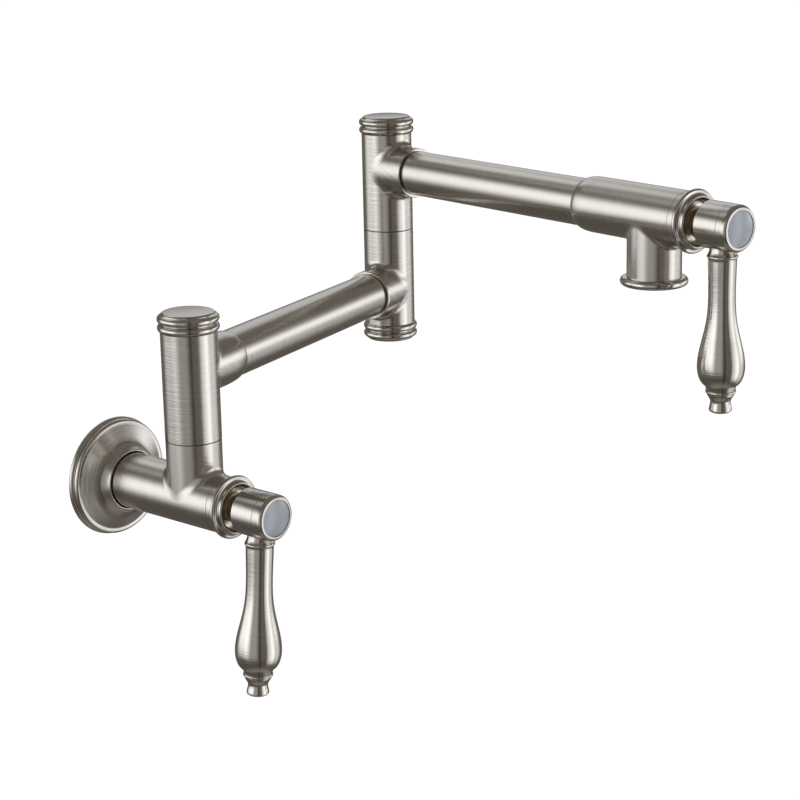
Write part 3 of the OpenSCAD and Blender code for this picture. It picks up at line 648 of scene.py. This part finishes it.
def skin(field, low, high, cell):
    """Quads over the field's zero surface: one point in each cell that the surface crosses."""
    count = np.ceil((high - low) / cell).astype(int) + 1
    lines = [low[i] + cell * np.arange(count[i]) for i in range(3)]
    grid = np.stack(np.meshgrid(*lines, indexing="ij"), -1)
    values = field(grid.reshape(-1, 3)).reshape(count)
    cells = count - 1
    total, hits = np.zeros(tuple(cells) + (3,)), np.zeros(tuple(cells), int)
    crossings = []
    for axis in range(3):
        lower = [slice(None)] * 3
        upper = [slice(None)] * 3
        lower[axis], upper[axis] = slice(0, -1), slice(1, None)
        a, b = values[tuple(lower)], values[tuple(upper)]
        crossed = (a < 0) != (b < 0)
        share = np.where(crossed, a / np.where(crossed, a - b, 1.0), 0.0)
        spots = grid[tuple(lower)] + share[..., None] * cell * np.eye(3)[axis]
        u, v = (axis + 1) % 3, (axis + 2) % 3
        for du in (0, 1):
            for dv in (0, 1):
                part = [slice(None)] * 3
                part[u], part[v] = slice(du, du + cells[u]), slice(dv, dv + cells[v])
                part = tuple(part)
                total += np.where(crossed[part][..., None], spots[part], 0.0)
                hits += crossed[part]
        crossings.append((crossed, a < 0, u, v))
    used = hits > 0
    number = np.full(tuple(cells), -1)
    number[used] = np.arange(used.sum())
    points = total[used] / hits[used][:, None]
    for _ in range(STEPS_TO_SURFACE):
        g = slope(field, points)
        points = points - (field(points) / (g * g).sum(1))[:, None] * g
    quads = []
    for crossed, solid_below, u, v in crossings:
        place = np.argwhere(crossed)
        below = solid_below[crossed]
        around = []
        for du, dv in ((1, 1), (0, 1), (0, 0), (1, 0)):
            shifted_place = place.copy()
            shifted_place[:, u] -= du
            shifted_place[:, v] -= dv
            around.append(number[tuple(shifted_place.T)])
        around = np.stack(around, -1)
        quads.append(np.where(below[:, None], around, around[:, ::-1]))
    return points, np.concatenate(quads)


trial_points, trial_quads = skin(TRIAL, np.full(3, -25.0), np.full(3, 25.0), 4.0)
print("a trial skin has", len(trial_quads), "quads and", len(trial_points), "points")

# %% [markdown]
# A casting comes out of its mould rough inside, and is then faced and bored. Here cutters from the
# same lathe do that, and the manifold solver keeps the solid closed. The flat grid of the skin would
# show in reflections, so the outer surface takes its shading normals from the field.

# %% Casting
CELL = 0.75
ON_SKIN, ALONG_SLOPE = 0.02, 0.8


def cut(obj, cutters):
    """Takes the cutters out of the object and throws them away."""
    for tool in cutters:
        knife = obj.modifiers.new("knife", "BOOLEAN")
        knife.operation, knife.solver, knife.object = "DIFFERENCE", "MANIFOLD", tool
    mesh = evaluated_mesh(obj)
    obj.modifiers.clear()
    obj.data = mesh
    for tool in cutters:
        bpy.data.objects.remove(tool)


def true_normals(mesh, field):
    """Takes the shading normals of the outer surface from the field, and leaves the rest."""
    crisp(mesh)
    points = np.array([v.co for v in mesh.vertices]) / MM
    g = slope(field, points)
    g /= np.linalg.norm(g, axis=1)[:, None]
    on_skin = np.abs(field(points)) < ON_SKIN
    normals = np.zeros((len(mesh.loops), 3))
    for face in mesh.polygons:
        for corner in face.loop_indices:
            vertex = mesh.loops[corner].vertex_index
            if on_skin[vertex] and g[vertex] @ np.array(face.normal) > ALONG_SLOPE:
                normals[corner] = g[vertex]
    mesh.normals_split_custom_set(normals.tolist())


def casting(name, tubes, corner, cutters, finish):
    """A solid of melted tubes, each given as its seat, profile, low and high, and then machined."""
    field = melted(tubes, corner)
    ends, sizes = [], []
    for tube_seat, profile, low, high in tubes:
        ends += [np.array(tube_seat @ Vector((0, 0, low))), np.array(tube_seat @ Vector((0, 0, high)))]
        sizes.append(max(r for r, _ in profile))
    margin = max(sizes)
    low, high = np.min(ends, 0) - margin - 2 * CELL, np.max(ends, 0) + margin + 2 * CELL
    points, quads = skin(field, low, high, CELL)
    mesh = bpy.data.meshes.new(name)
    mesh.from_pydata((points * MM).tolist(), [], quads.tolist())
    mesh.materials.append(finish)
    obj = new_object(name, mesh)
    cut(obj, cutters)
    true_normals(obj.data, field)
    print(name, len(obj.data.vertices), "points")
    return obj


def cutter(seat_mm, profile, finish):
    return turned("cutter", profile, seat_mm, finish, closed=True, steps=CUTTER_STEPS)


def finish_for(node, rough=0.19, rings=1.0, tag=""):
    return brushed_nickel("nickel_" + node + tag, AXES[node], rough, rings)


def place(obj, body, *nodes):
    """The piece stands for these nodes, which are hidden, and hangs on their body."""
    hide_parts(*nodes)
    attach(obj, body)


print("castings are sampled every", CELL, "mm")

# %% [markdown]
# The valve body is one casting: a tube from the wall, the valve chamber at its front and a riser for
# the arms. Its cutters face the ends, bore the inlet and the waterways, and leave room for the
# cartridge and for the post of the swivel. A tube runs a little past its end, so that the cutter
# leaves a crisp edge there, and each cutter ends well past the metal that it takes away.

# %% Valve body
FAR, PAST, FRONT_PAST, RISER_PAST, SPARE = 30.0, 80.0, 45.0, 55.0, 1.5
BODY_R, RISER_R, VALVE_CORNER = 14.5, 14.2, 3.8
BODY_END, LAND_START, LAND_R = 25.5, 21.2, 14.35
CHAMBER_R, CHAMBER_BACK, COLLAR_R, COLLAR_AT = 9.6, -11, 11, 12
INLET_R, INLET_DEPTH, WAY_R, WAY_END = 9.3, 18.0, 5.5, -10
POST_BORE_R, POST_BASE, SEAM_HALF = 9.06, 14.0, 0.3
VALVE_BRUSHED = (0.24, 0.6)

FRONT_CUT = [(0, CHAMBER_BACK), (CHAMBER_R, CHAMBER_BACK), (CHAMBER_R, COLLAR_AT), (COLLAR_R, COLLAR_AT),
             (COLLAR_R, BODY_END), (LAND_R, BODY_END), (LAND_R, LAND_START), (FAR, LAND_START),
             (FAR, FRONT_PAST), (0, FRONT_PAST)]
WALL_CUT = [(0, -PAST), (FAR, -PAST), (FAR, -WALL_TO_SWIVEL), (INLET_R, -WALL_TO_SWIVEL),
            (INLET_R, INLET_DEPTH - WALL_TO_SWIVEL), (WAY_R, INLET_DEPTH - WALL_TO_SWIVEL),
            (WAY_R, WAY_END), (0, WAY_END)]
RISER_CUT = [(0, 0), (WAY_R, 0), (WAY_R, SEAM_1 - POST_BASE), (POST_BORE_R, SEAM_1 - POST_BASE),
             (POST_BORE_R, SEAM_1 - SEAM_HALF), (FAR, SEAM_1 - SEAM_HALF), (FAR, RISER_PAST),
             (0, RISER_PAST)]

riser_seat = seat(SWIVEL, UP, ARM_1)
back, front = -WALL_TO_SWIVEL - SPARE, BODY_END + SPARE
metal = finish_for("valve_body", *VALVE_BRUSHED)
place(casting("cast_valve_body", [
    (WALL_VALVE, straight(BODY_R, back, front), back, front),
    (riser_seat, straight(RISER_R, 0, SEAM_1 + SPARE), 0, SEAM_1 + SPARE),
], VALVE_CORNER, [
    cutter(WALL_VALVE, FRONT_CUT, metal),
    cutter(WALL_VALVE, WALL_CUT, metal),
    cutter(riser_seat, RISER_CUT, metal),
], metal), "wall_body", "valve_body")

# %% [markdown]
# The swivel barrel turns on the post above the valve body and carries the first arm on a nose. The
# same cut makes every barrel that turns: it faces both ends, bores it for the post and leaves room
# for the nut under the cap. The nose narrows in a quarter ellipse to the arm tube that it grips.

# %% Swivel barrel
BARREL_R, NOSE_R, NOSE_CORNER = 14.3, 14.0, 3.0
NUT_ROOM_R, SHELF_Z = 12.0, 45.0
SOCKET_R, TUBE_GRIP = 12.5, 11.0
NOSE_REACH, CONE_R = 33.0, 12.8
NOSE_GRIP = NOSE_REACH - TUBE_GRIP
SEAM_PAST, NOSE_PAST = 20.0, 70.0

TURNING_CUT = [(0, -SEAM_PAST), (FAR, -SEAM_PAST), (FAR, SEAM_HALF), (POST_BORE_R, SEAM_HALF),
               (POST_BORE_R, SHELF_Z), (NUT_ROOM_R, SHELF_Z), (NUT_ROOM_R, SEAM_TO_CAP),
               (FAR, SEAM_TO_CAP), (FAR, PAST), (0, PAST)]
NOSE_CUT = [(0, 0), (WAY_R, 0), (WAY_R, NOSE_GRIP), (SOCKET_R, NOSE_GRIP), (SOCKET_R, NOSE_REACH),
            (FAR, NOSE_REACH), (FAR, NOSE_PAST), (0, NOSE_PAST)]
NOSE = straight(NOSE_R, -1, NOSE_GRIP) \
    + arc(CONE_R, NOSE_GRIP, NOSE_R - CONE_R, NOSE_REACH - NOSE_GRIP, 0, 90)[1:] \
    + [(CONE_R, NOSE_REACH + SPARE)]
BARREL = straight(BARREL_R, -SPARE, SEAM_TO_CAP + SPARE)

nose_seat = seat(SWIVEL + UP * ARM_1_Z, ARM_1, UP)
metal = finish_for("swivel_barrel")
place(casting("cast_swivel_barrel", [
    (SWIVEL_SEAT, BARREL, -SPARE, SEAM_TO_CAP + SPARE),
    (nose_seat, NOSE, 0, NOSE_REACH + SPARE),
], NOSE_CORNER, [
    cutter(SWIVEL_SEAT, TURNING_CUT, metal),
    cutter(nose_seat, NOSE_CUT, metal),
], metal), "arm_1", "swivel_barrel")

# %% [markdown]
# Two knuckles make the elbow. The lower one hangs from the first arm and holds the post, and the
# upper one turns on it with the second arm. Each has a boss that the arm tube is brazed into, with a
# slightly wider mouth, whose thin shadow marks the joint.

# %% Knuckles
BOSS_R, BOSS_REACH, BOSS_CORNER, BOSS_ROUND = 14.0, 27.0, 4.0, 0.5
MOUTH_R, MOUTH_DEPTH = 12.9, 1.2
CAP_FLOOR, BOSS_PAST = 51.4, 60.0
BOSS_GRIP = BOSS_REACH - TUBE_GRIP

BOSS_CUT = [(0, 0), (WAY_R, 0), (WAY_R, BOSS_GRIP), (SOCKET_R, BOSS_GRIP),
            (SOCKET_R, BOSS_REACH - MOUTH_DEPTH), (MOUTH_R, BOSS_REACH - MOUTH_DEPTH),
            (MOUTH_R, BOSS_REACH), (FAR, BOSS_REACH), (FAR, BOSS_PAST), (0, BOSS_PAST)]
BOSS = straight(BOSS_R, -1, BOSS_REACH - BOSS_ROUND) \
    + arc(BOSS_R - BOSS_ROUND, BOSS_REACH - BOSS_ROUND, BOSS_ROUND, BOSS_ROUND, 0, 90, 5)[1:] \
    + [(BOSS_R - BOSS_ROUND, BOSS_REACH + SPARE)]
POST_CUT = [(0, -SEAM_PAST), (FAR, -SEAM_PAST), (FAR, SEAM_HALF), (POST_BORE_R, SEAM_HALF),
            (POST_BORE_R, POST_BASE), (WAY_R, POST_BASE), (WAY_R, KNUCKLE_H), (0, KNUCKLE_H)]
CAP_CUT = [(0, CAP_FLOOR), (NUT_ROOM_R, CAP_FLOOR), (NUT_ROOM_R, SEAM_TO_CAP), (FAR, SEAM_TO_CAP),
           (FAR, PAST), (0, PAST)]

lower_boss = seat(ELBOW + UP * ARM_1_Z, -ARM_1, UP)
upper_boss = seat(ELBOW + UP * ARM_2_Z, ARM_2, UP)
for node, body, elbow, boss_seat, turning_cuts in (
        ("lower_knuckle", "arm_1", LOWER_ELBOW, lower_boss, (POST_CUT, CAP_CUT)),
        ("upper_knuckle", "arm_2", UPPER_ELBOW, upper_boss, (TURNING_CUT,))):
    metal = finish_for(node)
    place(casting("cast_" + node, [
        (elbow, BARREL, -SPARE, SEAM_TO_CAP + SPARE),
        (boss_seat, BOSS, 0, BOSS_REACH + SPARE),
    ], BOSS_CORNER, [cutter(elbow, profile, metal) for profile in turning_cuts]
        + [cutter(boss_seat, BOSS_CUT, metal)], metal), body, node)

# %% [markdown]
# The outlet body is the valve body's smaller sister: the arm tube enters its back, the second valve
# sits at its front, and the spout hangs below with a crisper corner. The same cutter cuts its front.

# %% Outlet body
SPOUT_R, SPOUT_CORNER, SPOUT_LOW, SPOUT_ROOM_R, SPOUT_ROOM_Z = 13.9, 2.4, 31.4, 11.2, 19.8
OUTLET_BACK, OUTLET_TAPER = 47, 8
BACK_PAST, SPOUT_PAST = 70.0, 55.0

BACK_CUT = [(0, -BACK_PAST), (FAR, -BACK_PAST), (FAR, -OUTLET_BACK), (SOCKET_R, -OUTLET_BACK),
            (SOCKET_R, TUBE_GRIP - OUTLET_BACK), (WAY_R, TUBE_GRIP - OUTLET_BACK),
            (WAY_R, WAY_END), (0, WAY_END)]
SPOUT_CUT = [(0, 0), (WAY_R, 0), (WAY_R, SPOUT_ROOM_Z), (SPOUT_ROOM_R, SPOUT_ROOM_Z),
             (SPOUT_ROOM_R, SPOUT_LOW), (FAR, SPOUT_LOW), (FAR, SPOUT_PAST), (0, SPOUT_PAST)]
SLEEVE = [(CONE_R, -OUTLET_BACK - SPARE)] \
    + arc(CONE_R, OUTLET_TAPER - OUTLET_BACK, BODY_R - CONE_R, OUTLET_TAPER, -90, 0) \
    + [(BODY_R, BODY_END + SPARE)]

spout_down = seat(OUTLET + UP * ARM_2_Z, -UP, ARM_2)
metal = finish_for("outlet_body", *VALVE_BRUSHED)
place(casting("cast_outlet_body", [
    (OUTLET_VALVE, SLEEVE, -OUTLET_BACK - SPARE, BODY_END + SPARE),
    (spout_down, straight(SPOUT_R, 0, SPOUT_LOW + SPARE), 0, SPOUT_LOW + SPARE),
], SPOUT_CORNER, [
    cutter(OUTLET_VALVE, FRONT_CUT, metal),
    cutter(OUTLET_VALVE, BACK_CUT, metal),
    cutter(spout_down, SPOUT_CUT, metal),
], metal), "arm_2", "outlet_body")

# %% [markdown]
# The caps, rings, hubs, levers, the flange and the tubes come straight off the lathe, with finer
# curves than the solids have. Beads and rims are polished brighter than the brushed walls. First
# the three caps: two beads with a groove between them under a flat top, and a sleeve that plugs in.

# %% Caps
BRIGHT = (0.14, 0.5)
CAP_H, CAP_FOOT_R, GROOVE_R = 9.8, 13.5, 13.9
CAP_BEAD_AT, CAP_BEAD_R, LOWER_BEAD, UPPER_BEAD = 13.55, 2.05, 2.05, 6.5
GROOVE_LOW, GROOVE_HIGH = 4.07, 4.48
TOP_ROUND = 1.3
TOP_AT = (12.3, CAP_H - TOP_ROUND)
PLUG_IN, PLUG_OUT, PLUG_H = 10.4, 11.9, 3


def lathe_piece(node, body, profile, seat_mm, brushed, closed=False):
    """A turned piece in nickel, brushed by a roughness and a strength of the rings."""
    made = turned("turned_" + node, profile, seat_mm, finish_for(node, *brushed, "_turned"), closed)
    crisp(made.data)
    place(made, body, node)
    print(made.name, len(made.data.vertices), "points")


CAP = [(0, 0), (PLUG_IN, 0), (PLUG_IN, -PLUG_H), (PLUG_OUT, -PLUG_H), (PLUG_OUT, 0), (CAP_FOOT_R, 0)] \
    + arc(CAP_BEAD_AT, LOWER_BEAD, CAP_BEAD_R, CAP_BEAD_R, -78, 72, 16) \
    + [(GROOVE_R, GROOVE_LOW), (GROOVE_R, GROOVE_HIGH)] \
    + arc(CAP_BEAD_AT, UPPER_BEAD, CAP_BEAD_R, CAP_BEAD_R, -72, 84, 16) \
    + arc(*TOP_AT, TOP_ROUND, TOP_ROUND, 8, 90, 10) + [(0, CAP_H)]
for node, body, base in (("swivel_cap", "arm_1", SWIVEL_SEAT), ("bottom_cap", "arm_1", LOWER_ELBOW),
                         ("top_cap", "arm_2", UPPER_ELBOW)):
    lathe_piece(node, body, CAP, shifted(base, SEAM_TO_CAP), BRIGHT)

# %% [markdown]
# A bonnet ring ends each valve. It has a bead, a cove, a second small bead, and then a deep bowl
# round the neck of the cartridge, which gives the dark hollow behind the hub.

# %% Bonnet ring
RING_BORE, RING_EDGE, RING_BEAD = 7.6, 15, 1.15
COVE_AT, COVE_WIDE, COVE_HIGH = 3.3, 1.6, 1.0
LIP_BEAD_AT, LIP_BEAD_R, LIP_BEAD_H = 12.65, 0.75, 4.45
BOWL_R, BOWL_IN, BOWL_DEPTH = 11.9, 4.0, 3.4
BOWL = [(BOWL_R - BOWL_IN * (1 - math.cos(t)), LIP_BEAD_H - BOWL_DEPTH * math.sin(t))
        for t in (math.radians(degrees) for degrees in range(0, 91, 6))]
BONNET = [(RING_BORE, 0), (RING_EDGE, 0)] + arc(RING_EDGE, RING_BEAD, RING_BEAD, RING_BEAD, -90, 90, 14) \
    + arc(RING_EDGE, COVE_AT, COVE_WIDE, COVE_HIGH, 270, 180, 12)[1:] \
    + arc(LIP_BEAD_AT, LIP_BEAD_H, LIP_BEAD_R, LIP_BEAD_R, 0, 180, 12) \
    + BOWL[1:] + [(RING_BORE, LIP_BEAD_H - BOWL_DEPTH)]
print("bonnet ring drawn with", len(BONNET), "points")

# %% [markdown]
# The hub sits on the stem. It narrows at its foot, has one fine turned line near its front, and holds
# a slightly domed button of blue-grey enamel, behind which the screw sits.

# %% Hub and button
HUB_FRONT = HUB_START + HUB_LEN
STEM_R, SCREW_R, SCREW_ROOM_R = 3.7, 2, 4.6
STEM_END, SCREW_FLOOR, BUTTON_FLOOR = 44.3, 46.3, 54.25
FOOT_R, FOOT_WIDE, FOOT_HIGH = 9.2, 1.1, 2.6
STEP_AT, STEP_ROUND = 2.95, 0.5
LINE_AT, LINE_HALF = 17.25, 0.15
BROW_R, BROW_H, BUTTON_ROOM_R = 9.95, 2.6, 9.3
HUB = [(STEM_R, HUB_START), (FOOT_R, HUB_START)] \
    + arc(FOOT_R, HUB_START + FOOT_HIGH, FOOT_WIDE, FOOT_HIGH, -90, 0, 14)[1:] \
    + [(FOOT_R + FOOT_WIDE, HUB_START + STEP_AT)] \
    + arc(HUB_R - STEP_ROUND, HUB_START + STEP_AT + STEP_ROUND, STEP_ROUND, STEP_ROUND, -90, 0, 8) \
    + [(HUB_R, HUB_START + LINE_AT - LINE_HALF), (HUB_R - LINE_HALF, HUB_START + LINE_AT),
       (HUB_R, HUB_START + LINE_AT + LINE_HALF)] \
    + arc(BROW_R, HUB_FRONT - BROW_H, HUB_R - BROW_R, BROW_H, 0, 90, 16) \
    + [(BUTTON_ROOM_R, HUB_FRONT), (BUTTON_ROOM_R, BUTTON_FLOOR), (SCREW_ROOM_R, BUTTON_FLOOR),
       (SCREW_ROOM_R, SCREW_FLOOR), (SCREW_R, SCREW_FLOOR), (SCREW_R, STEM_END), (STEM_R, STEM_END)]
INDEX_R, INDEX_RIM, INDEX_BACK, CROWN = 9.05, HUB_FRONT - 0.25, BUTTON_FLOOR + 0.1, 1.3
DOME_R = (INDEX_R ** 2 + CROWN ** 2) / (2 * CROWN)
INDEX = [(0, INDEX_BACK), (INDEX_R, INDEX_BACK), (INDEX_R, INDEX_RIM)] \
    + [(DOME_R * math.sin(t), INDEX_RIM + CROWN - DOME_R * (1 - math.cos(t)))
       for t in np.linspace(math.asin(INDEX_R / DOME_R), 0, 16)[1:]]
print("the button's dome has a radius of", round(DOME_R, 1), "mm")

# %% [markdown]
# The lever hangs from the hub like a small bottle turned upside down: a bead, a long waist that
# swells to the bulb, a rounded foot, a second bead and a short flared tail. Each station is a share
# of the lever's length, so that the outline keeps its proportions if the length changes.

# %% Lever
LEVER_LEN = 94.1
LEVER_BEAD, LEVER_BEAD_AT = 0.9, 6.75
ROOT_R, NECK_R, WAIST_R, BULB_R = 6.4, 7, 6.7, 11.8
TAIL_TOP_R, TAIL_R, TIP_R = 6.8, 5.05, 5.7
ROOT_DEPTH, SWELL_POWER = 2.6, 1.4
BEAD_Z, NECK, WAIST, BULB, BULB_FOOT, FOOT, TAIL, TIP = (
    share * LEVER_LEN for share in (0.157, 0.171, 0.343, 0.746, 0.849, 0.879, 0.936, 0.98))
LEVER = [(0, HUB_R - ROOT_DEPTH), (ROOT_R, HUB_R - ROOT_DEPTH), (ROOT_R, HUB_R)] \
    + arc(LEVER_BEAD_AT, BEAD_Z, LEVER_BEAD, LEVER_BEAD, -50, 60, 12) \
    + swell((NECK_R, NECK), (WAIST_R, WAIST)) \
    + swell((WAIST_R, WAIST), (BULB_R, BULB), 34, SWELL_POWER)[1:] \
    + arc(WAIST_R, BULB, BULB_R - WAIST_R, BULB_FOOT - BULB, 5, 78, 26) \
    + arc(WAIST_R, FOOT, LEVER_BEAD, LEVER_BEAD, -60, 70, 12) \
    + swell((TAIL_TOP_R, FOOT + LEVER_BEAD), (TAIL_R, TAIL), 14) \
    + swell((TAIL_R, TAIL), (TIP_R, TIP), 14)[1:] \
    + arc(0, TIP, TIP_R, LEVER_LEN - TIP, 5, 90, 16)
print("lever drawn with", len(LEVER), "points")

# %% [markdown]
# Both valves carry the same four pieces. The levers lean a little in the photograph, one each way,
# and each is hollowed where it meets its hub, so that no lever shows inside one.

# %% Fit both valves
HANDLES = (("wall", WALL_VALVE, "wall_body", "wall_handle", -4.0),
           ("outlet", OUTLET_VALVE, "arm_2", "outlet_handle", 0.5))
HUB_BRUSHED, LEVER_BRUSHED = (0.17, 0.7), (0.14, 0.8)
SADDLE_R = HUB_R + 0.1
SADDLE = [(0, HUB_START - 1), (SADDLE_R, HUB_START - 1), (SADDLE_R, HUB_FRONT + 1), (0, HUB_FRONT + 1)]
for side, valve, fixed, turning, lean in HANDLES:
    lathe_piece(side + "_bonnet_ring", fixed, BONNET, shifted(valve, BODY_END), BRIGHT, closed=True)
    lathe_piece(side + "_hub", turning, HUB, valve, HUB_BRUSHED, closed=True)
    button = turned("turned_" + side + "_index_button", INDEX, valve, BY_SLOT["index_enamel"])
    crisp(button.data)
    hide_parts(side + "_index_button")
    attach(button, turning)
    handle = shifted(valve @ Matrix.Rotation(math.radians(lean), 4, "Z"), LEVER_AT)
    down_seat = handle @ Matrix.Rotation(math.radians(90), 4, "X")
    metal = finish_for(side + "_lever", *LEVER_BRUSHED, "_turned")
    lever = turned("turned_" + side + "_lever", LEVER, down_seat, metal)
    cut(lever, [cutter(valve, SADDLE, metal)])
    crisp(lever.data)
    place(lever, turning, side + "_lever")
    print(side, "lever leans", lean, "degrees and has", len(lever.data.vertices), "points")

# %% [markdown]
# The flange hides the hole in the wall. It was pressed from sheet: two beads at its rim, then a dish
# that rises gently and steepens into the lip round the tube. A straight line and a high power of the
# way inwards, added together, give that rise.

# %% Wall flange
BEAD_R, RIM_R, SHELF_R, SHELF_BEAD_H, FLANGE_DEPTH = 1.6, 29.6, 28.8, 4.8, 15.3
LIP_IN, LIP_OUT, LIP_ROUND = 15.0, 16.0, 0.5
DISH_R, DISH_H = SHELF_R - 0.8, 6.0
GENTLE, STEEP_POWER = 0.6, 8
LIP_H = FLANGE_DEPTH - LIP_ROUND
FLANGE_BRUSHED = (0.24, 1.1)
FLANGE = [(LIP_IN, 0), (RIM_R, 0)] + arc(RIM_R, BEAD_R, BEAD_R, BEAD_R, -90, 75, 16) \
    + arc(SHELF_R, SHELF_BEAD_H, BEAD_R, BEAD_R, -75, 110, 20) \
    + [(DISH_R + (LIP_OUT - DISH_R) * t,
        DISH_H + (LIP_H - DISH_H) * (GENTLE * t + (1 - GENTLE) * t ** STEEP_POWER))
       for t in np.linspace(0.03, 1, 48)] \
    + arc(LIP_IN + LIP_ROUND, LIP_H, LIP_ROUND, LIP_ROUND, 10, 180, 12)
lathe_piece("wall_flange", "wall_body", FLANGE, WALL_SEAT, FLANGE_BRUSHED, closed=True)

# %% [markdown]
# The spout ring is a plain round bead that holds the aerator, with a sleeve that goes up inside. Each
# arm is a length of drawn tube, brushed, whose ends are hidden in their sockets.

# %% Spout ring and arm tubes
RING_END_Z = 100.1
RING_IN, RING_AT, ROUND_R, SLEEVE_R, SLEEVE_TOP = 10, 15, 2.2, 11.1, 12
TUBE_R, TUBE_IN = 12.4, 11.2
TUBE_BRUSHED = (0.22, 0.7)
SPOUT_RING = [(RING_IN, 0), (RING_AT, 0)] + arc(RING_AT, ROUND_R, ROUND_R, ROUND_R, -90, 90, 18)[1:] \
    + [(SLEEVE_R, 2 * ROUND_R), (SLEEVE_R, SLEEVE_TOP), (RING_IN, SLEEVE_TOP)]
ring_seat = seat(OUTLET + UP * RING_END_Z, UP, ARM_2)
lathe_piece("spout_ring", "arm_2", SPOUT_RING, ring_seat, BRIGHT, closed=True)

for node, body, base, low, high in (
        ("arm_1_tube", "arm_1", nose_seat, NOSE_GRIP, ARM_REACH - BOSS_GRIP),
        ("arm_2_tube", "arm_2", upper_boss, BOSS_GRIP, ARM_REACH + TUBE_GRIP - OUTLET_BACK)):
    tube = [(TUBE_IN, low), (TUBE_R, low), (TUBE_R, high), (TUBE_IN, high)]
    lathe_piece(node, body, tube, base, TUBE_BRUSHED, closed=True)

# %% [markdown]
# The dressed model has to fill the same box as the solids, so that it can take their place. Last, the view
# layer is brought up to date.

bpy.context.view_layer.update()
